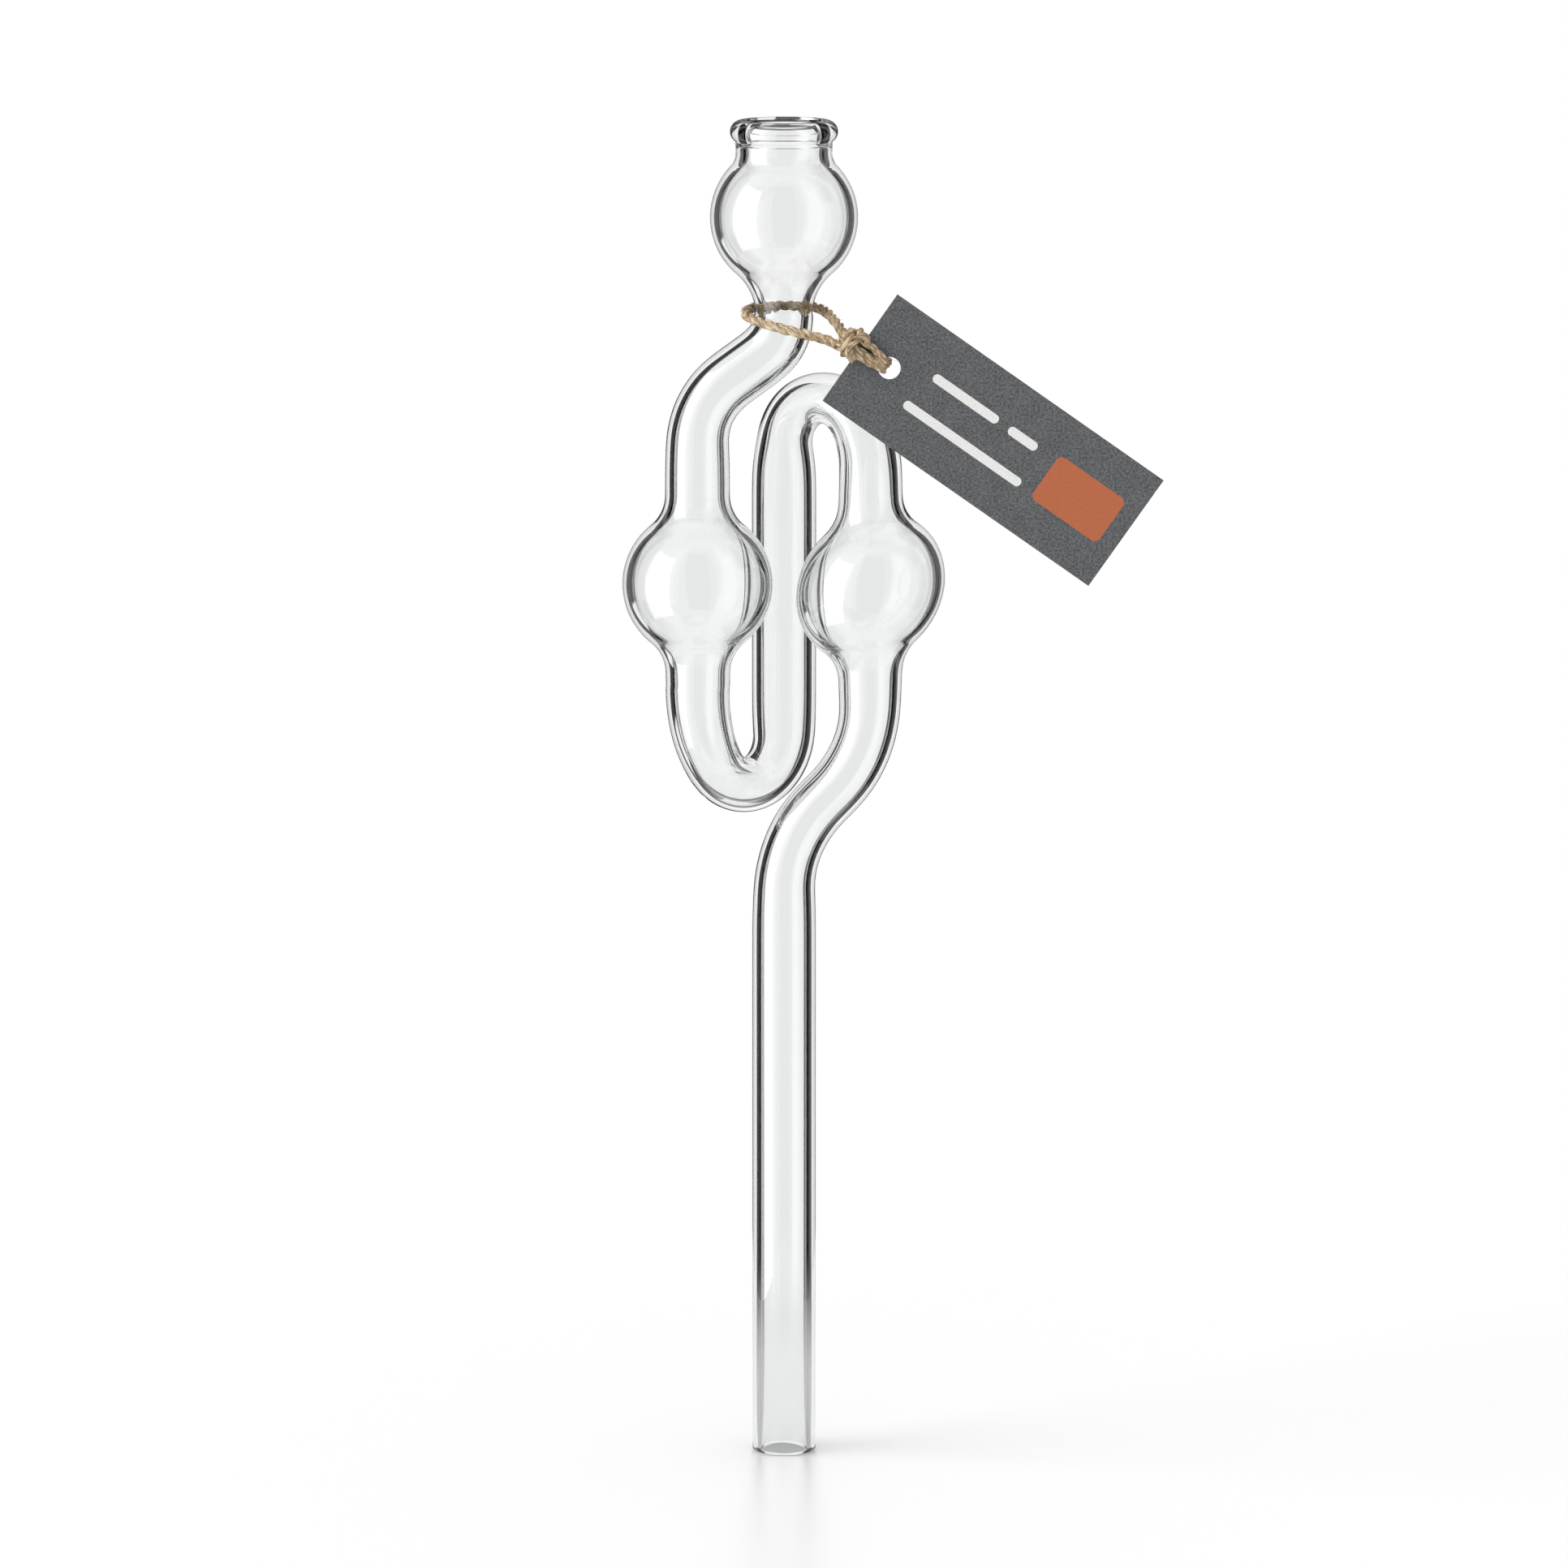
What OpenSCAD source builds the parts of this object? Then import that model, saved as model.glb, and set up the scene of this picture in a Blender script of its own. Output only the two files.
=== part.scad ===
// Blown glass fermentation airlock with a paper swing tag on a twine loop.
// Millimetres. Origin: centre of the stem's lower end, +Z up the stem.

/* [Glass tube] */
// Outer diameter of the tube that the legs, bends and stem are drawn from
tube_od = 9; // [8.5:0.1:9.5]
// Wall of that tube
tube_wall = 1.5; // [1.2:0.1:1.8]
// Outer diameter of the tube where an offset or the upper return bend has drawn it thinner
drawn_od = 8.4; // [8.2:0.1:8.6]
// Wall of the tube there
drawn_wall = 1.35; // [1.1:0.05:1.6]
// Height of the stem's straight part
stem_height = 80; // [60:1:80]

/* [Legs] */
// Distance of the outer legs from the middle plane
leg_x = 12; // [11.8:0.1:12.4]
// How far the middle leg stands behind the outer legs
leg_y = 9.4; // [9:0.1:11]
// Radius of the gentle entry of the lower return bend
lower_easy_radius = 20; // [18:0.5:22]
// Angle that this entry turns through
lower_easy_angle = 34; // [30:1:36]
// Radius of the gentle entry of the upper return bend
upper_easy_radius = 12; // [10:0.5:14]
// Angle that this entry turns through
upper_easy_angle = 30; // [26:1:34]

/* [Side bulbs] */
// Outer diameter of the two side bulbs
bulb_od = 20.9; // [20:0.1:21]
// Wall of the side bulbs
bulb_wall = 1.3; // [1:0.1:1.6]
// Height of the left bulb's centre
left_bulb_z = 123.6; // [123:0.1:124]
// Height of the right bulb's centre
right_bulb_z = 123.1; // [122.6:0.1:123.6]
// Half of the height that a side bulb takes up on its leg, shoulders included
bulb_reach = 12.5; // [12.2:0.1:12.8]
// How much taller than wide a side bulb is
bulb_stretch = 1; // [0.6:0.1:1.4]

/* [Top bulb and mouth] */
// Outer diameter of the top bulb
top_od = 20.4; // [19.6:0.1:21]
// Wall of the top bulb
top_wall = 1.25; // [1:0.05:1.5]
// Height of the top bulb's centre
top_z = 174.6; // [174:0.1:175.2]
// Outer diameter of the neck below the top bulb
neck_od = 7.9; // [7.6:0.1:8]
// Wall of the neck
neck_wall = 1.25; // [1:0.05:1.5]
// Outer diameter of the collar above the top bulb
collar_od = 13.3; // [13:0.1:13.6]
// Wall of the collar
collar_wall = 1.4; // [1.2:0.1:1.6]
// Outer diameter of the bead round the mouth
bead_od = 14.9; // [14.6:0.1:15.6]
// Height of that bead
bead_height = 3.2; // [3:0.1:3.6]
// Height of the whole airlock
total_height = 188; // [187.6:0.1:188.6]

/* [Swing tag] */
// Length of the card
tag_length = 44.6; // [30:0.1:50]
// Width of the card
tag_width = 17.8; // [14:0.1:20]
// Thickness of the card
tag_thick = 0.5; // [0.3:0.05:0.6]
// Diameter of the punched hole
tag_hole = 3.1; // [3:0.1:3.4]
// Distance of the hole from the card's short edge
tag_hole_inset = 4.9; // [4:0.1:4.9]
// Slope of the card, downwards to the right
tag_tilt = 35; // [20:1:50]

/* [Twine] */
// Diameter of the twine
twine_od = 1.35; // [1.2:0.05:1.4]
// Diameter of the knot
knot_od = 3; // [2.4:0.1:3]

/* [Hidden] */
$fn = 64;

glass = [0.80, 0.88, 0.88, 0.55];
twine = [0.72, 0.57, 0.38];
card = [0.38, 0.39, 0.40];

tube_r = tube_od / 2;
bore_r = tube_r - tube_wall;
drawn_r = drawn_od / 2;
drawn_bore_r = drawn_r - drawn_wall;
// Hairline between neighbouring lengths of one bent tube
seam = 0.01;

// Each return bend turns by 180 degrees in the upright plane through two legs
bend_span = norm([leg_x, leg_y]);
bend_turn = atan2(leg_y, leg_x);
function tight_radius(easy_r, easy_a) =
    (bend_span - easy_r * (1 - cos(easy_a))) / (1 + cos(easy_a));
function rise_to_middle(easy_r, easy_a) =
    easy_r * sin(easy_a) - tight_radius(easy_r, easy_a) * sin(easy_a);
lower_bend_z = 108.9;
upper_bend_z = 139.4;
middle_low = lower_bend_z - rise_to_middle(lower_easy_radius, lower_easy_angle);
middle_high = upper_bend_z + rise_to_middle(upper_easy_radius, upper_easy_angle);

// The two offsets are each an arc, a short straight and an arc back to upright
neck_low = 161.1;
upper_angle = 54;
upper_first = 7;
upper_second = 11;
upper_run = (leg_x - (upper_first + upper_second) * (1 - cos(upper_angle))) / sin(upper_angle);
upper_fall = (upper_first + upper_second) * sin(upper_angle) + upper_run * cos(upper_angle)
    + 2 * seam;
lower_angle = 45;
lower_run = 2;
lower_radius = (leg_x - lower_run * sin(lower_angle)) / (2 - 2 * cos(lower_angle));
lower_fall = 2 * lower_radius * sin(lower_angle) + lower_run * cos(lower_angle) + 2 * seam;

// Radii and heights of the mouth
top_r = top_od / 2;
neck_r = neck_od / 2;
neck_bore_r = neck_r - neck_wall;
collar_r = collar_od / 2;
mouth_r = collar_r - collar_wall;
bead_low = total_height - bead_height;
arc_steps = 14;

// The hole's centre is the tag's own origin, and the knot lies just off the card's short edge
tag_hole_at = [14.4, -11.3, 155];
knot_gap = 0.15;
knot_reach = tag_hole_inset + knot_od / 2 + knot_gap;
knot_at = tag_hole_at - knot_reach * [cos(tag_tilt), 0, -sin(tag_tilt)];
twine_r = twine_od / 2;

// The loop leaves the knot, goes behind the neck, comes round its left side and returns in front
loop_route = [
    [8.35, -9.9, 158.95],
    [8.1, -8.2, 159.5],
    [7.4, -5.6, 160.3],
    [6.6, -2.9, 161.0],
    [5.8, -0.3, 161.5],
    [4.8, 2.2, 161.8],
    [2.9, 4.4, 162.0],
    [0.4, 5.3, 162.1],
    [-2.1, 4.9, 162.0],
    [-4.1, 3.3, 161.8],
    [-5.2, 0.9, 161.5],
    [-5.0, -1.7, 161.1],
    [-3.6, -4.0, 160.6],
    [-1.5, -5.6, 160.1],
    [1.0, -6.7, 159.6],
    [3.5, -7.9, 159.1],
    [5.9, -9.1, 158.6],
    [7.45, -10.15, 157.95]
];

// One strand of the lashing, in the tag's own frame: over the face, down the hole and back behind
lashing_route = [
    [-5.05, -1.2, 0.75],
    [-4.3, -1.1, 0.78],
    [-3.0, -0.98, 0.76],
    [-1.7, -0.98, 0.72],
    [-0.8, -0.8, 0.7],
    [-0.4, -0.3, 0.7],
    [-0.4, 0.3, 0.7],
    [-0.8, 0.8, 0.7],
    [-1.7, 0.98, 0.72],
    [-3.0, 0.98, 0.76],
    [-4.3, 1.1, 0.78],
    [-5.05, 1.2, 0.75]
];

// Points on an arc about a centre, from one angle to another
function arc(centre, radius, from, to) =
    [for (i = [0:arc_steps]) let (a = from + (to - from) * i / arc_steps)
        centre + radius * [cos(a), sin(a)]];

// Radius of the fillet that runs from a sphere into a tube at a given height above its centre
function fillet(sphere_r, pipe_r, reach) =
    (reach * reach - sphere_r * sphere_r + pipe_r * pipe_r) / (2 * (sphere_r - pipe_r));

// Half outline of a globe that runs into one tube below it and another above it
function bulb_outline(sphere_r, stretch, low_r, low_reach, high_r, high_reach) =
    let (
        low = low_reach - stretch / 2,
        high = high_reach - stretch / 2,
        low_f = fillet(sphere_r, low_r, low),
        high_f = fillet(sphere_r, high_r, high),
        low_a = atan2(low, low_r + low_f),
        high_a = atan2(high, high_r + high_f)
    )
    concat(
        arc([low_r + low_f, -low_reach], low_f, 180, 180 - low_a),
        arc([0, -stretch / 2], sphere_r, -low_a, 0),
        arc([0, stretch / 2], sphere_r, 0, high_a),
        arc([high_r + high_f, high_reach], high_f, 180 + high_a, 180)
    );

function reversed(list) = [for (i = [len(list) - 1:-1:0]) list[i]];

// Direction of a route at one of its points
function along(route, i) =
    let (
        a = route[max(i - 1, 0)],
        b = route[min(i + 1, len(route) - 1)]
    )
    (b - a) / norm(b - a);

// Ring of points round a route, turned so that its first side keeps to side_hint
function swept_ring(route, i, radius, sides, side_hint) =
    let (
        t = along(route, i),
        raw = cross(t, side_hint),
        u = raw / norm(raw),
        v = cross(t, u)
    )
    [for (k = [0:sides - 1]) let (a = 360 * k / sides) route[i] + radius * (cos(a) * u + sin(a) * v)];

// Round strand along a route, with one ring of points at each of the route's points
module swept_twine(route, side_hint, sides = 8) {
    rings = len(route);
    skin = [for (i = [0:rings - 2]) for (k = [0:sides - 1])
        let (n = (k + 1) % sides)
        [i * sides + k, (i + 1) * sides + k, (i + 1) * sides + n, i * sides + n]];
    start = [for (k = [0:sides - 1]) k];
    end = [for (k = [sides - 1:-1:0]) (rings - 1) * sides + k];
    polyhedron(
        [for (i = [0:rings - 1]) each swept_ring(route, i, twine_r, sides, side_hint)],
        concat([start, end], skin)
    );
}

// Straight tube running down from the origin; children go on at its lower end
module straight(length, outer, inner) {
    translate([0, 0, -length])
        difference() {
            cylinder(h = length, r = outer);
            translate([0, 0, -1])
                cylinder(h = length + 2, r = inner);
        }
    translate([0, 0, -length - seam])
        children();
}

// Tube bent towards +X as it runs down from the origin; children go on at its far end
module bent(radius, angle, outer, inner) {
    translate([radius, 0, 0])
        rotate([90, 0, 0])
            rotate([0, 0, 180])
                rotate_extrude(angle = angle)
                    translate([radius, 0])
                        difference() {
                            circle(r = outer);
                            circle(r = inner);
                        }
    translate([radius * (1 - cos(angle)), 0, -radius * sin(angle)])
        rotate([0, -angle, 0])
            translate([0, 0, -seam])
                children();
}

// The same, bent towards -X
module bent_back(radius, angle, outer, inner) {
    rotate([0, 0, 180])
        bent(radius, angle, outer, inner)
            rotate([0, 0, 180])
                children();
}

// Return bend that starts gently, turns tightly and ends upright, running down from the origin
module return_bend(easy_r, easy_a, tight_r, tight_bore_r) {
    bent(easy_r, easy_a, tube_r, bore_r)
        bent(tight_radius(easy_r, easy_a), 180 - easy_a, tight_r, tight_bore_r);
}

// Hollow bulb between two tubes, centred on the origin
module bulb(outer_r, inner_r, stretch, low, low_bore, low_reach, high, high_bore, high_reach) {
    outside = bulb_outline(outer_r, stretch, low, low_reach, high, high_reach);
    inside = bulb_outline(inner_r, stretch, low_bore, low_reach, high_bore, high_reach);
    rotate_extrude()
        polygon(concat(outside, reversed(inside)));
}

module side_bulb(x, z) {
    outer_r = bulb_od / 2;
    color(glass)
        translate([x, 0, z])
            bulb(
                outer_r, outer_r - bulb_wall, bulb_stretch, tube_r, bore_r, bulb_reach,
                tube_r, bore_r, bulb_reach
            );
}

// Rounded ring of glass round the mouth
module rim_bead() {
    round_r = bead_height / 2;
    color(glass)
        translate([0, 0, bead_low])
            rotate_extrude()
                intersection() {
                    union() {
                        translate([bead_od / 2 - round_r, round_r])
                            circle(r = round_r);
                        translate([mouth_r, 0])
                            square([bead_od / 2 - round_r - mouth_r, bead_height]);
                    }
                    translate([mouth_r, 0])
                        square([bead_od / 2, bead_height]);
                }
}

// Globe between the collar and the neck
module top_bulb() {
    collar_low = 183.4;
    color(glass) {
        translate([0, 0, top_z])
            bulb(
                top_r, top_r - top_wall, 0, neck_r, neck_bore_r, top_z - neck_low,
                collar_r, mouth_r, collar_low - top_z
            );
        translate([0, 0, bead_low])
            straight(bead_low - collar_low, collar_r, mouth_r);
    }
}

module upper_offset() {
    color(glass)
        translate([0, 0, neck_low])
            bent_back(upper_first, upper_angle, drawn_r, drawn_bore_r)
                straight(upper_run, drawn_r, drawn_bore_r)
                    bent(upper_second, upper_angle, drawn_r, drawn_bore_r);
}

module left_leg_upper() {
    top = neck_low - upper_fall;
    color(glass)
        translate([-leg_x, 0, top])
            straight(top - left_bulb_z - bulb_reach, tube_r, bore_r);
}

module left_bulb() {
    side_bulb(-leg_x, left_bulb_z);
}

module left_leg_lower() {
    top = left_bulb_z - bulb_reach;
    color(glass)
        translate([-leg_x, 0, top])
            straight(top - lower_bend_z, tube_r, bore_r);
}

module lower_return_bend() {
    color(glass)
        translate([-leg_x, 0, lower_bend_z])
            rotate([0, 0, bend_turn])
                return_bend(lower_easy_radius, lower_easy_angle, tube_r, bore_r);
}

module middle_leg() {
    color(glass)
        translate([0, leg_y, middle_high])
            straight(middle_high - middle_low, tube_r, bore_r);
}

// As the lower one, turned over, and drawn thinner
module upper_return_bend() {
    color(glass)
        translate([leg_x, 0, upper_bend_z])
            rotate([0, 0, -bend_turn])
                rotate([0, 180, 0])
                    return_bend(upper_easy_radius, upper_easy_angle, drawn_r, drawn_bore_r);
}

module right_leg_upper() {
    color(glass)
        translate([leg_x, 0, upper_bend_z])
            straight(upper_bend_z - right_bulb_z - bulb_reach, tube_r, bore_r);
}

module right_bulb() {
    side_bulb(leg_x, right_bulb_z);
}

module right_leg_lower() {
    top = right_bulb_z - bulb_reach;
    color(glass)
        translate([leg_x, 0, top])
            straight(top - stem_height - lower_fall - seam, tube_r, bore_r);
}

module lower_offset() {
    color(glass)
        translate([leg_x, 0, stem_height + lower_fall])
            bent_back(lower_radius, lower_angle, drawn_r, drawn_bore_r)
                straight(lower_run, drawn_r, drawn_bore_r)
                    bent(lower_radius, lower_angle, drawn_r, drawn_bore_r);
}

module stem() {
    color(glass)
        translate([0, 0, stem_height])
            straight(stem_height, tube_r, bore_r);
}

module twine_loop() {
    color(twine)
        swept_twine(loop_route, [0, 0, 1]);
}

module twine_knot() {
    color(twine)
        translate(knot_at)
            sphere(d = knot_od);
}

// Places its children in the tag's own frame, with +X along the card and +Y behind it
module on_tag() {
    translate(tag_hole_at)
        rotate([0, tag_tilt, 0])
            children();
}

// Two strands from the knot, side by side through the hole
module tag_lashing() {
    color(twine)
        on_tag() {
            swept_twine(lashing_route, [0, 0, 1]);
            mirror([0, 0, 1])
                swept_twine(lashing_route, [0, 0, 1]);
        }
}

module swing_tag() {
    color(card)
        on_tag()
            difference() {
                translate([-tag_hole_inset, -tag_thick / 2, -tag_width / 2])
                    cube([tag_length, tag_thick, tag_width]);
                rotate([90, 0, 0])
                    cylinder(h = 4 * tag_thick, d = tag_hole, center = true);
            }
}

rim_bead();
top_bulb();
upper_offset();
left_leg_upper();
left_bulb();
left_leg_lower();
lower_return_bend();
middle_leg();
upper_return_bend();
right_leg_upper();
right_bulb();
right_leg_lower();
lower_offset();
stem();
twine_loop();
twine_knot();
tag_lashing();
swing_tag();
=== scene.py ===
import math
import random

import bmesh
import bpy
import numpy as np
from mathutils import Matrix, Vector


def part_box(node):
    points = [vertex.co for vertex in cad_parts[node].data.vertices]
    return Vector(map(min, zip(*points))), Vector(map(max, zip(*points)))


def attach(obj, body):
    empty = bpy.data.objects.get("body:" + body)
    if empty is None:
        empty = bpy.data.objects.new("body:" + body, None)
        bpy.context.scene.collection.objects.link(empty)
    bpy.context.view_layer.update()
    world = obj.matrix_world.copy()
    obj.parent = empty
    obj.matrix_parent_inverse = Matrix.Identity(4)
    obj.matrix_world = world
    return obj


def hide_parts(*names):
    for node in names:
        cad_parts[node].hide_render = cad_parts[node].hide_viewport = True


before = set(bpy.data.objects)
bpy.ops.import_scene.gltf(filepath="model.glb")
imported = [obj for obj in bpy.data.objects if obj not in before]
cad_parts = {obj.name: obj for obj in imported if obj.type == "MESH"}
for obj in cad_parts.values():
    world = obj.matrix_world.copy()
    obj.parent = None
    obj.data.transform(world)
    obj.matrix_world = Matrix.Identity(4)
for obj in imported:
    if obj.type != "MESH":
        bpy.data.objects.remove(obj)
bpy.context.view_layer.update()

# Blown glass fermentation airlock with a card swing tag on a twine loop. Metres, +Z up the stem.

MM = 0.001


def width_of(node):
    low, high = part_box(node)
    return high.x - low.x


def middle_of(node):
    low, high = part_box(node)
    return (low + high) / 2


# ---------------------------------------------------------------- sizes

TUBE_R = width_of("stem") / 2
TUBE_WALL = 1.27 * MM
DRAWN_R = 4.2 * MM
DRAWN_WALL = 1.25 * MM

LEFT_X = middle_of("left_leg_upper").x
RIGHT_X = middle_of("right_leg_upper").x
MIDDLE_Y = middle_of("middle_leg").y

SIDE_BULB_R = width_of("left_bulb") / 2
SIDE_BULB_WALL = 1.3 * MM
LEFT_BULB_Z = middle_of("left_bulb").z
RIGHT_BULB_Z = middle_of("right_bulb").z
SIDE_REACH = 12.5 * MM

TOP_R = width_of("top_bulb") / 2
TOP_WALL = 1.25 * MM
TOP_Z = 174.6 * MM
NECK_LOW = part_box("top_bulb")[0].z
NECK_R = 3.95 * MM
NECK_WALL = 1.25 * MM
COLLAR_R = 6.65 * MM
COLLAR_WALL = 1.4 * MM
COLLAR_LOW = 183.4 * MM

BEAD_R = width_of("rim_bead") / 2
BEAD_LOW, MOUTH_TOP = (corner.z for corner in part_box("rim_bead"))

STEM_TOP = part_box("stem")[1].z
LOWER_BEND_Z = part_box("lower_return_bend")[1].z
UPPER_BEND_Z = 139.4 * MM

# Where the hole of the tag is, and how thick the twine is
HOLE = Vector((14.4, -11.3, 155.0)) * MM
TAG_TILT = math.radians(35)
TWINE_D = 1.35 * MM

ON_TAG = Matrix.Translation(HOLE) @ Matrix.Rotation(TAG_TILT, 4, "Y")


# ---------------------------------------------------------------- camera

def add_camera():
    data = bpy.data.cameras.new("camera")
    camera = bpy.data.objects.new("camera", data)
    bpy.context.scene.collection.objects.link(camera)
    camera.location = (0, -1.024, 0.2686)
    camera.rotation_euler = (math.radians(90 - 9.6), 0, 0)
    data.sensor_width = 36
    data.lens = 170.85
    data.clip_start = 0.01
    bpy.context.scene.camera = camera


# ---------------------------------------------------------------- mesh helpers

def add_mesh(name, points, faces, smooth=True):
    mesh = bpy.data.meshes.new(name)
    mesh.from_pydata([tuple(p) for p in points], [], faces)
    mesh.validate()
    for face in mesh.polygons:
        face.use_smooth = smooth
    obj = bpy.data.objects.new(name, mesh)
    bpy.context.scene.collection.objects.link(obj)
    return obj


def ring_faces(first, second, count):
    """Quads between two rings of count points that start at these point numbers."""
    return [
        (first + k, second + k, second + (k + 1) % count, first + (k + 1) % count)
        for k in range(count)
    ]


def smoothed(values, sigma):
    """Values, each an average of its neighbours under a bell of sigma samples."""
    reach = int(3 * sigma) + 1
    weights = np.exp(-0.5 * (np.arange(-reach, reach + 1) / sigma) ** 2)
    weights /= weights.sum()
    values = np.asarray(values, float)
    if values.ndim == 2:
        return np.stack([smoothed(column, sigma) for column in values.T], axis=1)
    before = 2 * values[0] - values[reach:0:-1]
    after = 2 * values[-1] - values[-2:-reach - 2:-1]
    return np.convolve(np.concatenate([before, values, after]), weights, "valid")


def through(points, step):
    """A smooth line through given points, sampled about every step metres."""
    points = [Vector(p) for p in points]
    padded = [2 * points[0] - points[1], *points, 2 * points[-1] - points[-2]]
    line = []
    for a, b, c, d in zip(padded, padded[1:], padded[2:], padded[3:]):
        count = max(2, round((c - b).length / step))
        for k in range(count):
            t = k / count
            line.append(
                0.5 * (2 * b + (c - a) * t + (2 * a - 5 * b + 4 * c - d) * t ** 2
                       + (3 * b - a - 3 * c + d) * t ** 3)
            )
    line.append(points[-1])
    return line


def carried_frames(line):
    """A direction across the line and one across both at each point, carried along without twist."""
    tangents = []
    for k in range(len(line)):
        ahead = line[min(k + 1, len(line) - 1)] - line[max(k - 1, 0)]
        tangents.append(ahead.normalized())
    side = tangents[0].orthogonal().normalized()
    frames = []
    for k, tangent in enumerate(tangents):
        if k:
            side = tangents[k - 1].rotation_difference(tangent) @ side
        side = (side - side.dot(tangent) * tangent).normalized()
        frames.append((side, tangent.cross(side)))
    return frames


# ---------------------------------------------------------------- glass

# Distance between samples along the tube, and how many samples each kind of change is spread over
SAMPLE = 0.4 * MM
PATH_SPREAD = 2.5
SECTION_SPREAD = 7
PULL_SPREAD = 5
LEVEL_SPREAD = 9

GLASS_SIDES = 72
FOOT_START = 1.2 * MM


def tight_radius(span, easy_r, easy_a):
    """Radius of the tight part of a return bend across span whose gentle part is known."""
    return (span - easy_r * (1 - math.cos(easy_a))) / (1 + math.cos(easy_a))


def glass_lengths():
    """The lengths that the tube is made of, from the mouth down: each has a length, the azimuth of
    the upright plane it bends in, its heading from straight down at its start and end, and how
    wide the tube is in that plane, how wide across it, and its wall."""
    deg = math.radians
    span = math.hypot(RIGHT_X, MIDDLE_Y)
    towards_middle = math.atan2(MIDDLE_Y, -LEFT_X)
    towards_right = math.atan2(-MIDDLE_Y, RIGHT_X)
    to_left = math.pi
    round_tube = (TUBE_R, TUBE_R, TUBE_WALL)
    drawn_tube = (DRAWN_R, DRAWN_R, DRAWN_WALL)

    upper_a = deg(54)
    upper_first, upper_second = 7 * MM, 11 * MM
    upper_run = (-LEFT_X - (upper_first + upper_second) * (1 - math.cos(upper_a))) / math.sin(upper_a)
    upper_fall = (upper_first + upper_second) * math.sin(upper_a) + upper_run * math.cos(upper_a)

    low_easy_r, low_easy_a = 20 * MM, deg(34)
    low_tight = tight_radius(span, low_easy_r, low_easy_a)
    high_easy_r, high_easy_a = 12 * MM, deg(30)
    high_tight = tight_radius(span, high_easy_r, high_easy_a)
    middle_low = LOWER_BEND_Z - (low_easy_r - low_tight) * math.sin(low_easy_a)
    middle_high = UPPER_BEND_Z + (high_easy_r - high_tight) * math.sin(high_easy_a)

    lower_a, lower_run = deg(45), 2 * MM
    lower_r = (RIGHT_X - lower_run * math.sin(lower_a)) / (2 - 2 * math.cos(lower_a))
    lower_fall = 2 * lower_r * math.sin(lower_a) + lower_run * math.cos(lower_a)

    return [
        (BEAD_LOW - NECK_LOW, to_left, 0, 0, (NECK_R, NECK_R, NECK_WALL)),
        (upper_first * upper_a, to_left, 0, upper_a, drawn_tube),
        (upper_run, to_left, upper_a, upper_a, drawn_tube),
        (upper_second * upper_a, to_left, upper_a, 0, drawn_tube),
        (NECK_LOW - upper_fall - LOWER_BEND_Z, to_left, 0, 0, round_tube),
        (low_easy_r * low_easy_a, towards_middle, 0, low_easy_a, round_tube),
        (low_tight * (math.pi - low_easy_a), towards_middle, low_easy_a, math.pi,
         (4.35 * MM, 4.1 * MM, 1.4 * MM)),
        (middle_high - middle_low, towards_middle, math.pi, math.pi, round_tube),
        (high_tight * (math.pi - high_easy_a), towards_right, math.pi, high_easy_a,
         (3.55 * MM, 4.4 * MM, 1.3 * MM)),
        (high_easy_r * high_easy_a, towards_right, high_easy_a, 0, (4.2 * MM, 4.5 * MM, 1.45 * MM)),
        (UPPER_BEND_Z - STEM_TOP - lower_fall, to_left, 0, 0, round_tube),
        (lower_r * lower_a, to_left, 0, lower_a, drawn_tube),
        (lower_run, to_left, lower_a, lower_a, (3.9 * MM, 4.3 * MM, 1.3 * MM)),
        (lower_r * lower_a, to_left, lower_a, 0, drawn_tube),
        (STEM_TOP, to_left, 0, 0, round_tube),
    ]


def fillet(sphere_r, pipe_r, reach):
    return (reach ** 2 - sphere_r ** 2 + pipe_r ** 2) / (2 * (sphere_r - pipe_r))


def globe_radius(height, sphere_r, low_r, low_reach, high_r, high_reach):
    """Radius of a globe that runs into a tube below and a tube above, at a height from its centre."""
    pipe_r, reach = (high_r, high_reach) if height > 0 else (low_r, low_reach)
    height = abs(height)
    if height >= reach:
        return pipe_r
    round_r = fillet(sphere_r, pipe_r, reach)
    meets = sphere_r * reach / math.hypot(reach, pipe_r + round_r)
    if height < meets:
        return math.sqrt(sphere_r ** 2 - height ** 2)
    return pipe_r + round_r - math.sqrt(round_r ** 2 - (reach - height) ** 2)


def inner_side(outward, heading):
    """How far in the tube is pulled on the inner side of the lower return bend, by its heading."""
    if outward.y < 0.1 or heading > math.radians(175):
        return 0.0
    shoulder = math.exp(-((heading - math.radians(32)) / math.radians(20)) ** 2)
    bottom = math.exp(-((heading - math.radians(95)) / math.radians(45)) ** 2)
    return (0.8 * shoulder + 1.3 * bottom) * MM


def glass_line():
    """Samples along the middle of the tube, from the bead to the foot."""
    rows = []
    position = Vector((0, 0, BEAD_LOW))
    for length, azimuth, start, end, section in glass_lengths():
        outward = Vector((math.cos(azimuth), math.sin(azimuth), 0))
        count = max(3, round(length / SAMPLE))
        for k in range(count):
            heading = start + (end - start) * k / count
            rows.append((position.copy(), heading, outward.copy(), *section, inner_side(outward, heading)))
            half_way = start + (end - start) * (k + 0.5) / count
            position += length / count * (math.sin(half_way) * outward - Vector((0, 0, math.cos(half_way))))
    rows.append((position.copy(), end, outward.copy(), *section, 0.0))
    return rows


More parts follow.
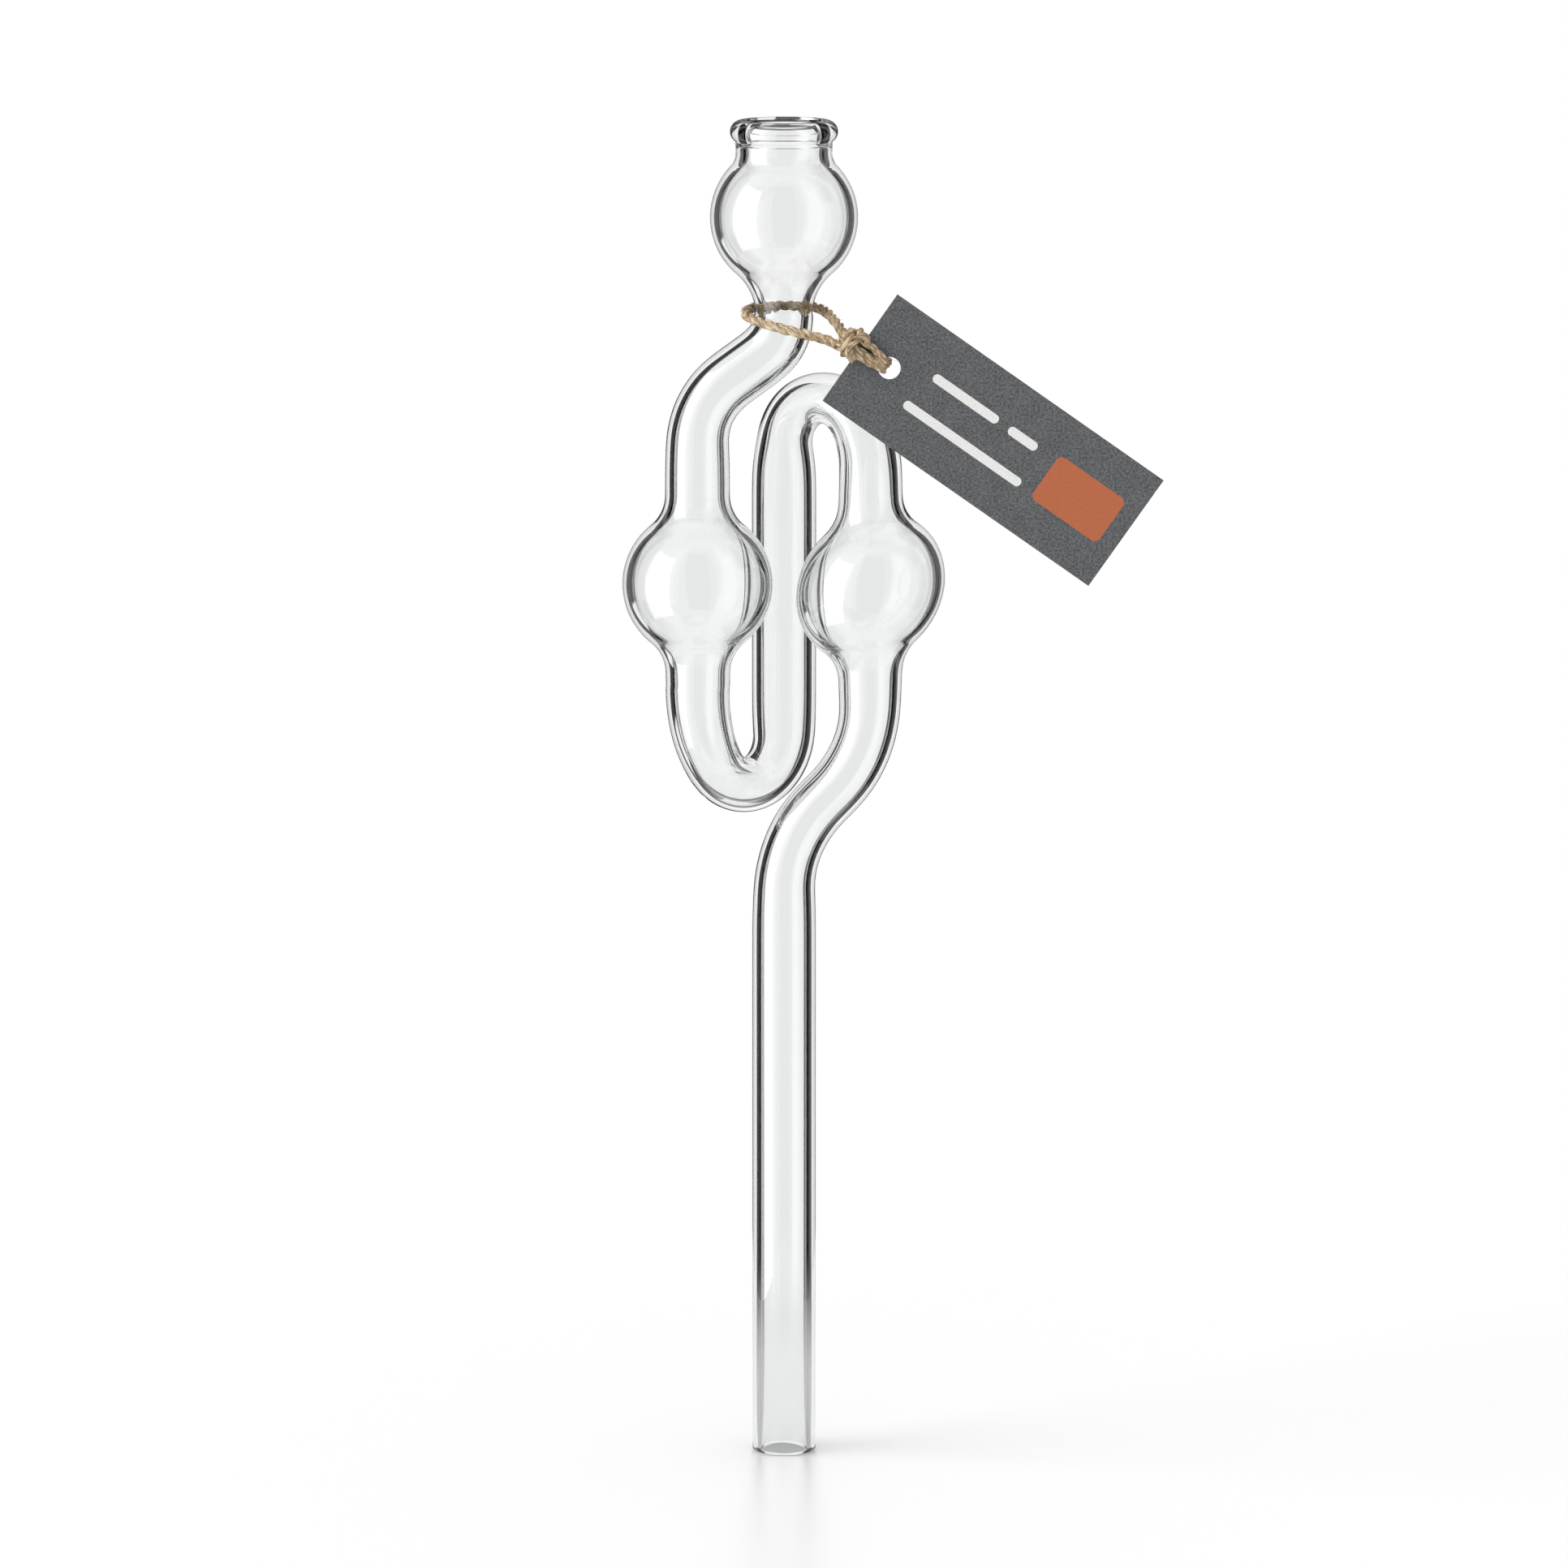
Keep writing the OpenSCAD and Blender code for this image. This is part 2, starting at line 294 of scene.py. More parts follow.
def with_bulbs(place, in_plane, across, wall):
    """The tube's half widths and wall at one place, with the three bulbs blown in."""
    outer, inner = None, None
    if place.y < MIDDLE_Y / 2:
        if place.z > NECK_LOW:
            low, high = TOP_Z - NECK_LOW, COLLAR_LOW - TOP_Z
            outer = globe_radius(place.z - TOP_Z, TOP_R, NECK_R, low, COLLAR_R, high)
            inner = globe_radius(place.z - TOP_Z, TOP_R - TOP_WALL, NECK_R - NECK_WALL, low,
                                 COLLAR_R - COLLAR_WALL, high)
        for x, z in ((LEFT_X, LEFT_BULB_Z), (RIGHT_X, RIGHT_BULB_Z)):
            if abs(place.z - z) < SIDE_REACH and abs(place.x - x) < TUBE_R:
                outer = globe_radius(place.z - z, SIDE_BULB_R, TUBE_R, SIDE_REACH, TUBE_R, SIDE_REACH)
                inner = globe_radius(place.z - z, SIDE_BULB_R - SIDE_BULB_WALL, TUBE_R - TUBE_WALL,
                                     SIDE_REACH, TUBE_R - TUBE_WALL, SIDE_REACH)
    if outer is None:
        return in_plane, across, wall
    return outer, outer, outer - inner


def glass_rings():
    """Rings of points down the outside of the tube, and the matching ones of the bore."""
    rows = glass_line()
    places = smoothed([row[0] for row in rows], PATH_SPREAD)
    headings = smoothed([row[1] for row in rows], PATH_SPREAD).tolist()
    in_plane = smoothed([row[3] for row in rows], SECTION_SPREAD)
    across = smoothed([row[4] for row in rows], SECTION_SPREAD)
    walls = smoothed([row[5] for row in rows], SECTION_SPREAD)
    pulled_in = smoothed([row[6] for row in rows], PULL_SPREAD)
    levels = [Vector((-row[2].y, row[2].x, 0)) for row in rows]
    for k in range(1, len(levels)):
        if levels[k].dot(levels[k - 1]) < 0:
            levels[k] = -levels[k]
    levels = smoothed(levels, LEVEL_SPREAD)
    turned = Matrix.Identity(3)
    before = 0.0
    outside, inside = [], []
    for k, row in enumerate(rows):
        outward = row[2]
        hinge = Vector((outward.y, -outward.x, 0))
        turned = Matrix.Rotation(headings[k] - before, 3, hinge) @ turned
        before = headings[k]
        side, depth = turned @ Vector((1, 0, 0)), turned @ Vector((0, 1, 0))
        tangent = turned @ Vector((0, 0, -1))
        level = Vector(levels[k])
        level = (level - level.dot(tangent) * tangent).normalized()
        in_bend = tangent.cross(level)
        if in_bend.dot(math.cos(headings[k]) * outward + math.sin(headings[k]) * Vector((0, 0, 1))) < 0:
            in_bend = -in_bend
        place = Vector(places[k])
        wide, deep, wall = map(float, with_bulbs(place, in_plane[k], across[k], walls[k]))
        bore_wide, bore_deep = wide - wall, deep - wall
        outer_ring, inner_ring = [], []
        for n in range(GLASS_SIDES):
            angle = 2 * math.pi * n / GLASS_SIDES
            direction = math.cos(angle) * side + math.sin(angle) * depth
            bend_part, level_part = direction.dot(in_bend), direction.dot(level)
            middle = place - float(pulled_in[k]) * max(bend_part, 0) * in_bend
            outer_ring.append(middle + wide * bend_part * in_bend + deep * level_part * level)
            inner_ring.append(middle + bore_wide * bend_part * in_bend + bore_deep * level_part * level)
        outside.append(outer_ring)
        inside.append(inner_ring)
    return outside, inside


def turned_ring(radius, height):
    return [
        Vector((radius * math.cos(2 * math.pi * n / GLASS_SIDES),
                radius * math.sin(2 * math.pi * n / GLASS_SIDES), height))
        for n in range(GLASS_SIDES)
    ]


def bead_rings():
    """The rounded bead, from the bore over the lip and round to the collar."""
    round_r = (MOUTH_TOP - BEAD_LOW) / 2
    centre_r, centre_z = BEAD_R - round_r, BEAD_LOW + round_r
    lip_r, lip_depth = 0.6 * MM, 1.6 * MM
    rings = [turned_ring(COLLAR_R - COLLAR_WALL, BEAD_LOW + t * (MOUTH_TOP - lip_depth - BEAD_LOW))
             for t in (0.33, 0.66)]
    for k in range(9):
        angle = math.pi - k / 8 * math.pi / 2
        height = MOUTH_TOP - lip_depth + lip_depth * math.sin(angle)
        rings.append(turned_ring(centre_r + lip_r * math.cos(angle), height))
    for k in range(1, 25):
        angle = math.pi / 2 - k / 24 * math.radians(148)
        height = centre_z + round_r * math.sin(angle)
        rings.append(turned_ring(centre_r + round_r * math.cos(angle), height))
    return rings


def foot_rings(outer_r, inner_r):
    """The fire-polished foot, from the outside round to the bore."""
    round_r = 0.35 * MM
    rings = []
    for k in range(7):
        angle = -k / 6 * math.pi / 2
        height = round_r + round_r * math.sin(angle)
        rings.append(turned_ring(outer_r - round_r + round_r * math.cos(angle), height))
    for k in range(7):
        angle = -math.pi / 2 - k / 6 * math.pi / 2
        height = round_r + round_r * math.sin(angle)
        rings.append(turned_ring(inner_r + round_r + round_r * math.cos(angle), height))
    return rings


def matched(ring, like):
    """The same ring, started at the point nearest the start of another ring and run the same way."""
    start = min(range(len(ring)), key=lambda n: (ring[n] - like[0]).length)
    forward = ring[start:] + ring[:start]
    backward = [forward[0]] + forward[:0:-1]
    quarter = len(ring) // 4
    if (forward[quarter] - like[quarter]).length < (backward[quarter] - like[quarter]).length:
        return forward
    return backward


def add_glass():
    outside, inside = glass_rings()
    above_foot = [k for k, ring in enumerate(outside) if ring[0].z > FOOT_START or k < len(outside) // 2]
    outside = [outside[k] for k in above_foot]
    inside = [inside[k] for k in above_foot]
    foot = [matched(ring, outside[-1]) for ring in foot_rings(TUBE_R, TUBE_R - TUBE_WALL)]
    bead = [matched(ring, inside[0]) for ring in bead_rings()]
    rings = outside[2:] + foot + inside[::-1][:-1] + bead
    points = [p for ring in rings for p in ring]
    faces = []
    for k in range(len(rings)):
        after = (k + 1) % len(rings)
        faces += ring_faces(k * GLASS_SIDES, after * GLASS_SIDES, GLASS_SIDES)
    glass = add_mesh("glass_airlock", points, faces)
    face_outwards(glass)
    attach(glass, "airlock")
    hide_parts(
        "rim_bead", "top_bulb", "upper_offset", "left_leg_upper", "left_bulb", "left_leg_lower",
        "lower_return_bend", "middle_leg", "upper_return_bend", "right_leg_upper", "right_bulb",
        "right_leg_lower", "lower_offset", "stem",
    )
    glass.data.materials.append(glass_material())
    return glass


def face_outwards(obj):
    """Turns every face of a closed mesh to face out of the material."""
    work = bmesh.new()
    work.from_mesh(obj.data)
    bmesh.ops.recalc_face_normals(work, faces=work.faces)
    work.to_mesh(obj.data)
    work.free()


# ---------------------------------------------------------------- materials

def new_material(name):
    material = bpy.data.materials.new(name)
    material.use_nodes = True
    tree = material.node_tree
    return material, tree, tree.nodes["Principled BSDF"]


def add_node(tree, kind, **settings):
    node = tree.nodes.new(kind)
    for name, value in settings.items():
        setattr(node, name, value)
    return node


def math_node(tree, operation, first, second=None):
    node = add_node(tree, "ShaderNodeMath", operation=operation)
    for socket, value in zip(node.inputs, (first, second)):
        if isinstance(value, (int, float)):
            socket.default_value = value
        elif value is not None:
            tree.links.new(value, socket)
    return node.outputs[0]


def soft_step(tree, value, low, high):
    node = add_node(tree, "ShaderNodeMapRange", interpolation_type="SMOOTHSTEP")
    node.inputs["From Min"].default_value = low
    node.inputs["From Max"].default_value = high
    tree.links.new(value, node.inputs["Value"])
    return node.outputs["Result"]


def blend(tree, factor, first, second, label):
    node = add_node(tree, "ShaderNodeMix", data_type="FLOAT", label=label)
    tree.links.new(factor, node.inputs["Factor"])
    for socket, value in ((node.inputs["A"], first), (node.inputs["B"], second)):
        if isinstance(value, float):
            socket.default_value = value
        else:
            tree.links.new(value, socket)
    return node.outputs["Result"]


def noise(tree, source, scale, detail=3.0):
    node = add_node(tree, "ShaderNodeTexNoise")
    node.inputs["Scale"].default_value = scale
    node.inputs["Detail"].default_value = detail
    tree.links.new(source, node.inputs["Vector"])
    return node.outputs["Fac"]


def stretched(tree, source, scale):
    node = add_node(tree, "ShaderNodeMapping")
    node.inputs["Scale"].default_value = scale
    tree.links.new(source, node.inputs["Vector"])
    return node.outputs["Vector"]


def ramp(tree, source, *stops):
    node = add_node(tree, "ShaderNodeValToRGB")
    elements = node.color_ramp.elements
    while len(elements) < len(stops):
        elements.new(0.5)
    for element, (place, colour) in zip(elements, stops):
        element.position = place
        element.color = (*colour, 1)
    tree.links.new(source, node.inputs["Fac"])
    return node.outputs["Color"]


def bump(tree, source, strength, distance):
    node = add_node(tree, "ShaderNodeBump")
    node.inputs["Strength"].default_value = strength
    node.inputs["Distance"].default_value = distance
    tree.links.new(source, node.inputs["Height"])
    return node.outputs["Normal"]


def glass_material():
    """Clear drawn glass with faint waves; lamps shine through it, so that its shadow stays pale."""
    material, tree, shader = new_material("glass")
    shader.inputs["Base Color"].default_value = (0.968, 0.975, 0.973, 1)
    shader.inputs["Roughness"].default_value = 0.0
    shader.inputs["IOR"].default_value = 1.47
    shader.inputs["Transmission Weight"].default_value = 1.0
    place = add_node(tree, "ShaderNodeTexCoord").outputs["Object"]
    waves = noise(tree, stretched(tree, place, (1, 1, 0.25)), 260, 1.0)
    tree.links.new(bump(tree, waves, 0.12, 0.05 * MM), shader.inputs["Normal"])
    path = add_node(tree, "ShaderNodeLightPath")
    clear = add_node(tree, "ShaderNodeBsdfTransparent")
    clear.inputs["Color"].default_value = (0.68, 0.69, 0.69, 1)
    mix = add_node(tree, "ShaderNodeMixShader")
    tree.links.new(path.outputs["Is Shadow Ray"], mix.inputs["Fac"])
    tree.links.new(shader.outputs["BSDF"], mix.inputs[1])
    tree.links.new(clear.outputs["BSDF"], mix.inputs[2])
    tree.links.new(mix.outputs["Shader"], tree.nodes["Material Output"].inputs["Surface"])
    return material


def jute_material():
    """Natural jute: fine fibres along each strand, straw to brown."""
    material, tree, shader = new_material("jute")
    along = add_node(tree, "ShaderNodeUVMap", uv_map="along").outputs["UV"]
    fibres = noise(tree, stretched(tree, along, (0.4, 5, 1)), 3.0, 5.0)
    patches = noise(tree, stretched(tree, along, (1, 1, 1)), 0.6, 2.0)
    both = math_node(
        tree, "ADD", math_node(tree, "MULTIPLY", fibres, 0.6), math_node(tree, "MULTIPLY", patches, 0.4)
    )
    colour = ramp(
        tree, both,
        (0.38, (0.10, 0.06, 0.03)), (0.45, (0.31, 0.21, 0.12)), (0.53, (0.53, 0.41, 0.27)),
        (0.62, (0.80, 0.70, 0.52)),
    )
    tree.links.new(colour, shader.inputs["Base Color"])
    shader.inputs["Roughness"].default_value = 0.85
    shader.inputs["Specular IOR Level"].default_value = 0.25
    tree.links.new(bump(tree, fibres, 0.8, 0.06 * MM), shader.inputs["Normal"])
    return material


def card_material():
    """Matt dark grey card with a fine felt-like grain."""
    material, tree, shader = new_material("card")
    place = add_node(tree, "ShaderNodeTexCoord").outputs["Object"]
    grain = noise(tree, place, 3200, 3.0)
    clouds = noise(tree, place, 420, 3.0)
    both = math_node(
        tree, "ADD", math_node(tree, "MULTIPLY", grain, 0.85), math_node(tree, "MULTIPLY", clouds, 0.15)
    )
    colour = ramp(tree, both, (0.38, (0.070, 0.073, 0.078)), (0.62, (0.160, 0.164, 0.170)))
    tree.links.new(colour, shader.inputs["Base Color"])
    shader.inputs["Roughness"].default_value = 0.8
    shader.inputs["Specular IOR Level"].default_value = 0.3
    tree.links.new(bump(tree, grain, 0.5, 0.03 * MM), shader.inputs["Normal"])
    return material


def ink_material(name, colour):
    """Screen-printed ink that follows the grain of the card under it."""
    material, tree, shader = new_material(name)
    place = add_node(tree, "ShaderNodeTexCoord").outputs["Object"]
    grain = noise(tree, place, 5200, 4.0)
    thin = tuple(0.86 * part for part in colour)
    tree.links.new(ramp(tree, grain, (0.35, thin), (0.6, colour)), shader.inputs["Base Color"])
    shader.inputs["Roughness"].default_value = 0.55
    tree.links.new(bump(tree, grain, 0.3, 0.02 * MM), shader.inputs["Normal"])
    return material


def floor_material(name, white):
    """Matt white with a weak blurred reflection, the same from every side."""
    material, tree, shader = new_material(name)
    shader.inputs["Base Color"].default_value = (white, white, white, 1)
    shader.inputs["Roughness"].default_value = 1.0
    shader.inputs["Specular IOR Level"].default_value = 0.0
    sheen = add_node(tree, "ShaderNodeBsdfAnisotropic")
    sheen.inputs["Color"].default_value = (1, 1, 1, 1)
    sheen.inputs["Roughness"].default_value = 0.30
    mix = add_node(tree, "ShaderNodeMixShader")
    mix.inputs["Fac"].default_value = 0.30
    tree.links.new(shader.outputs["BSDF"], mix.inputs[1])
    tree.links.new(sheen.outputs["BSDF"], mix.inputs[2])
    tree.links.new(mix.outputs["Shader"], tree.nodes["Material Output"].inputs["Surface"])
    return material


def faded_shade_material(name, white, none_from, full_to):
    """Painted shade for the glass to see: matt grey round the foot, thinning out to nothing further away.
    """
    material, tree, shader = new_material(name)
    shader.inputs["Base Color"].default_value = (white, white, white, 1)
    shader.inputs["Roughness"].default_value = 1.0
    shader.inputs["Specular IOR Level"].default_value = 0.0
    place = stretched(tree, add_node(tree, "ShaderNodeTexCoord").outputs["Object"], (0.72, 1, 1))
    distance = add_node(tree, "ShaderNodeVectorMath", operation="LENGTH")
    tree.links.new(place, distance.inputs[0])
    fade = soft_step(tree, distance.outputs["Value"], none_from, full_to)
    tree.links.new(fade, shader.inputs["Alpha"])
    return material


# ---------------------------------------------------------------- twine

# The loop leaves the knot, goes behind the neck, comes round its left side and returns in front
LOOP_ROUTE = [
    (0.00835, -0.0099, 0.15895),
    (0.0081, -0.0082, 0.1595),
    (0.0074, -0.0056, 0.1603),
    (0.0066, -0.0029, 0.1610),
    (0.0058, -0.0003, 0.1615),
    (0.0048, 0.0022, 0.1618),
    (0.0029, 0.0044, 0.1620),
    (0.0004, 0.0053, 0.1621),
    (-0.0021, 0.0049, 0.1620),
    (-0.0041, 0.0033, 0.1618),
    (-0.0052, 0.0009, 0.1615),
    (-0.0050, -0.0017, 0.1611),
    (-0.0036, -0.0040, 0.1606),
    (-0.0015, -0.0056, 0.1601),
    (0.0010, -0.0067, 0.1596),
    (0.0035, -0.0079, 0.1591),
    (0.0059, -0.0091, 0.1586),
    (0.00745, -0.01015, 0.15795),
]

PLIES = 3
PLY_R = 0.36 * MM
PLY_OUT = 0.37 * MM
TWIST = 5.5 * MM
PLY_SIDES = 10


class Strands:
    """Twisted twine along any number of lines, collected into one mesh with a UV map along it."""

    def __init__(self, seed):
        self.points = []
        self.faces = []
        self.uvs = []
        self.skins = []
        self.chance = random.Random(seed)

    def tube(self, line, radii, offset):
        """One round strand along a line, closed at its ends."""
        frames = carried_frames(line)
        first = len(self.points)
        run = offset
        for k, (place, (side, up)) in enumerate(zip(line, frames)):
            if k:
                run += (place - line[k - 1]).length / MM
            for n in range(PLY_SIDES):
                angle = 2 * math.pi * n / PLY_SIDES
                self.points.append(place + radii[k] * (math.cos(angle) * side + math.sin(angle) * up))
                self.uvs.append((run, n / PLY_SIDES))
        for k in range(len(line) - 1):
            self.faces += ring_faces(first + k * PLY_SIDES, first + (k + 1) * PLY_SIDES, PLY_SIDES)
        last = first + (len(line) - 1) * PLY_SIDES
        self.faces.append(tuple(first + n for n in range(PLY_SIDES)))
        self.faces.append(tuple(last + n for n in reversed(range(PLY_SIDES))))

    def twine(self, line, scale=1.0, phase=0.0):
        """Three plies twisted round a line."""
        frames = carried_frames(line)
        for ply in range(PLIES):
            turn = phase + 2 * math.pi * ply / PLIES
            sway = self.chance.uniform(0, 6)
            run = 0.0
            centres, radii = [], []
            for k, (place, (side, up)) in enumerate(zip(line, frames)):
                if k:
                    run += (place - line[k - 1]).length
                angle = turn + 2 * math.pi * run / TWIST
                out = PLY_OUT * scale * (1 + 0.10 * math.sin(run / MM * 1.7 + sway))
                centres.append(place + out * (math.cos(angle) * side + math.sin(angle) * up))
                radii.append(PLY_R * scale * (1 + 0.07 * math.sin(run / MM * 2.3 + 2 * sway)))
            self.tube(centres, radii, 40 * self.chance.random())
        self.skins.append((line, frames, scale))

    def fuzz(self, count):
        """Loose fibres that stand off the twine."""
        for _ in range(count):
            line, frames, scale = self.chance.choice(self.skins)
            k = self.chance.randrange(1, len(line) - 1)
            side, up = frames[k]
            angle = self.chance.uniform(0, 2 * math.pi)
            out = math.cos(angle) * side + math.sin(angle) * up
            ahead = (line[k + 1] - line[k - 1]).normalized() * self.chance.choice((-1, 1))
            around = ahead.cross(out) * self.chance.uniform(-1, 1)
            reach = self.chance.uniform(0.35, 1.1) * MM
            lift = self.chance.uniform(0.15, 0.55)
            start = line[k] + out * 0.5 * TWINE_D * scale * 0.9
            fibre = []
            for step in range(6):
                t = step / 5
                fibre.append(start + reach * (t * ahead * 0.9 + t * t * lift * out + t * t * 0.5 * around))
            radii = [0.018 * MM * (1 - 0.12 * step) for step in range(6)]
            self.tube(fibre, radii, 40 * self.chance.random())

    def finish(self, name, material):
        obj = add_mesh(name, self.points, self.faces)
        layer = obj.data.uv_layers.new(name="along")
        for loop in obj.data.loops:
            layer.data[loop.index].uv = self.uvs[loop.vertex_index]
        obj.data.materials.append(material)
        return obj


def on_tag(*points):
    return [ON_TAG @ Vector((x * MM, y * MM, z * MM)) for x, y, z in points]


def add_loop(jute):
    line = through(LOOP_ROUTE, 0.2 * MM)
    strands = Strands(11)
    strands.twine(line)
    loop = strands.finish("twine_loop_strands", jute)
    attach(loop, "cord")
    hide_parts("twine_loop")
    hairs = Strands(12)
    hairs.skins = strands.skins
    hairs.fuzz(150)
    fuzz = hairs.finish("twine_loop_fibres", jute)
    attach(fuzz, "cord")
    return loop, fuzz, line


def add_knot(jute):
    """An overhand knot beside the card: one wrap across the strands and the strands under it."""
    strands = Strands(21)
    wrap = on_tag(
        (-7.0, 0.2, 1.2), (-7.1, -0.9, 0.95), (-6.95, -1.7, 0.0), (-6.6, -1.6, -1.2),
        (-6.3, -0.6, -1.8), (-6.1, 0.6, -1.6), (-6.0, 1.35, -0.2), (-6.1, 1.1, 1.3),
        (-6.05, -0.35, 1.75), (-5.7, -1.35, 1.35), (-5.45, -1.5, 1.0),
    )
    strands.twine(through(wrap, 0.2 * MM), 0.9, 0.4)
    crescent = on_tag(
        (-4.75, -1.15, 1.25), (-5.1, -1.75, 1.7), (-5.75, -2.0, 1.4), (-6.2, -2.15, 0.6),
        (-6.25, -2.15, -0.4), (-5.9, -2.0, -1.2), (-5.35, -1.75, -1.75), (-4.85, -1.2, -1.75),
    )
    strands.twine(through(crescent, 0.2 * MM), 0.85, 1.9)
    front_in = [Vector(LOOP_ROUTE[-2]), Vector(LOOP_ROUTE[-1])] + on_tag(
        (-6.6, -0.7, -0.4), (-6.1, -0.85, -0.65), (-5.7, -0.95, -0.8),
    )
    strands.twine(through(front_in, 0.2 * MM), 0.97, 1.3)
    back_in = [Vector(LOOP_ROUTE[1]), Vector(LOOP_ROUTE[0])] + on_tag(
        (-6.7, 0.1, 0.6), (-6.2, -0.3, 0.25), (-5.75, -0.7, 0.05),
    )
    strands.twine(through(back_in, 0.2 * MM), 0.97, 2.2)
    strands.fuzz(60)
    knot = strands.finish("twine_knot_wraps", jute)
    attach(knot, "cord")
    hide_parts("twine_knot")
    return knot


def add_lashing(jute):
    """Three strands from the knot over the card, down its hole and back behind it."""
    strands = Strands(31)
    for offset, lean, phase in ((1.05, 0.66, 0.0), (-0.3, 0.0, 1.1), (-1.0, -0.66, 2.3)):
        route = on_tag(
            (-5.9, -0.85, offset), (-5.0, -1.1, offset), (-3.8, -1.05, offset),
            (-2.6, -0.95, 0.6 * offset + 0.4 * lean), (-1.6, -0.9, lean), (-0.85, -0.7, lean),
            (-0.55, -0.1, lean), (-0.65, 0.45, lean), (-1.2, 0.85, lean), (-2.4, 0.95, 0.9 * lean),
            (-3.8, 1.0, lean), (-5.2, 0.9, lean), (-5.9, 0.6, 0.8 * lean),
        )
        strands.twine(through(route, 0.2 * MM), 0.78, phase)
    strands.fuzz(90)
    lashing = strands.finish("tag_lashing_strands", jute)
    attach(lashing, "tag")
    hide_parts("tag_lashing")
    return lashing


# ---------------------------------------------------------------- tag

TAG_LENGTH = 44.6
TAG_WIDTH = 17.8
TAG_THICK = 0.5
TAG_INSET = 4.9
HOLE_R = 1.55


def rounded_box(x0, x1, z0, z1, radius, steps=6):
    """Corner points of a flat rounded rectangle, in the tag's own x and z, in mm."""
    outline = []
    for cx, cz, start in ((x1 - radius, z1 - radius, 0), (x0 + radius, z1 - radius, 90),
                          (x0 + radius, z0 + radius, 180), (x1 - radius, z0 + radius, 270)):
        for k in range(steps + 1):
            angle = math.radians(start + 90 * k / steps)
            outline.append((cx + radius * math.cos(angle), cz + radius * math.sin(angle)))
    return outline


def square_point(angle, low, high):
    """Where a ray from the origin at this angle meets the rectangle between two corners."""
    c, s = math.cos(angle), math.sin(angle)
    reach = []
    if abs(c) > 1e-9:
        reach.append((high[0] if c > 0 else low[0]) / c)
    if abs(s) > 1e-9:
        reach.append((high[1] if s > 0 else low[1]) / s)
    return min(reach) * c, min(reach) * s


def add_tag():
    """The punched card: rings from the hole out to its edge, on both faces, with soft cut edges."""
    low, high = (-TAG_INSET, -TAG_WIDTH / 2), (TAG_LENGTH - TAG_INSET, TAG_WIDTH / 2)
    corners = [math.atan2(z, x) for x in (low[0], high[0]) for z in (low[1], high[1])]
    angles = sorted(set([math.radians(3 * k - 180) for k in range(120)] + corners))
    count = len(angles)
    soft = 0.06
    half = TAG_THICK / 2
    profile = [
        (0, soft, half), (1, -soft, half), (1, 0, half - soft), (1, 0, soft - half),
        (1, -soft, -half), (0, soft, -half), (0, 0, soft - half), (0, 0, half - soft),
    ]
    points = []
    for outer, shift, depth in profile:
        low_corner = (low[0] - shift, low[1] - shift)
        high_corner = (high[0] + shift, high[1] + shift)
        for angle in angles:
            c, s = math.cos(angle), math.sin(angle)
            if outer:
                x, z = square_point(angle, low_corner, high_corner)
            else:
                x, z = (HOLE_R + shift) * c, (HOLE_R + shift) * s
            points.append(ON_TAG @ Vector((x * MM, -depth * MM, z * MM)))
    faces = []
    for k in range(len(profile)):
        faces += ring_faces(k * count, (k + 1) % len(profile) * count, count)
    tag = add_mesh("swing_tag_card", points, faces, smooth=False)
    face_outwards(tag)
    tag.data.materials.append(card_material())
    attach(tag, "tag")
    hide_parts("swing_tag")
    return tag


def add_print(name, outlines, material):
    """Flat shapes of ink just proud of the card's face, from outlines in the tag's own x and z."""
    points, faces = [], []
    depth = -(TAG_THICK / 2 + 0.015)
    for outline in outlines:
        first = len(points)
        points += [ON_TAG @ Vector((x * MM, depth * MM, z * MM)) for x, z in outline]
        faces.append(tuple(range(first, len(points))))
    ink = add_mesh(name, points, faces, smooth=False)
    ink.data.materials.append(material)
    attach(ink, "tag")
    return ink


def add_prints():
    white = ink_material("white_ink", (0.86, 0.86, 0.85))
    block = ink_material("block_ink", (0.50, 0.13, 0.045))
    bars = [
        rounded_box(5.6, 16.4, 1.9, 3.2, 0.6),
        rounded_box(18.2, 22.9, 1.9, 3.2, 0.6),
        rounded_box(4.4, 23.9, -3.4, -2.1, 0.6),
    ]
    lines = add_print("tag_print_lines", bars, white)
    patch = add_print("tag_print_block", [rounded_box(26.0, 37.2, -3.5, 3.7, 0.9)], block)
    return [lines, patch]


# ---------------------------------------------------------------- studio

# The floor's near oval is mirrored in the glass; the grey oval and the wedge are painted shade on the
# floor, seen only through the glass
FLOOR_NEAR = (0.095, 0.14)
FLOOR_FAR = (9, 9)
SHADE_OVAL = (0.15, 0.11)
SHADE_OVAL_FADES = (0.105, 0.035)
SHADE_WEDGE = [(-0.004, -0.006, 0), (0.004, -0.006, 0), (0.055, 0.14, 0), (-0.055, 0.14, 0)]
WEDGE_FADES = (0.139, 0.05)
FLOOR_Z, WEDGE_Z, SHADE_OVAL_Z = -0.05 * MM, -0.02 * MM, -0.04 * MM


def add_floor_part(name, points, material, height=FLOOR_Z, faces=None):
    """A flat part of the floor: one face round the points, or the faces given."""
    floor = add_mesh(name, points, faces or [tuple(range(len(points)))], smooth=False)
    floor.location.z = height
    floor.data.materials.append(material)
    return floor


def oval(reach_x, reach_y, sides=96):
    turns = [2 * math.pi * n / sides for n in range(sides)]
    return [Vector((reach_x * math.cos(turn), reach_y * math.sin(turn), 0)) for turn in turns]


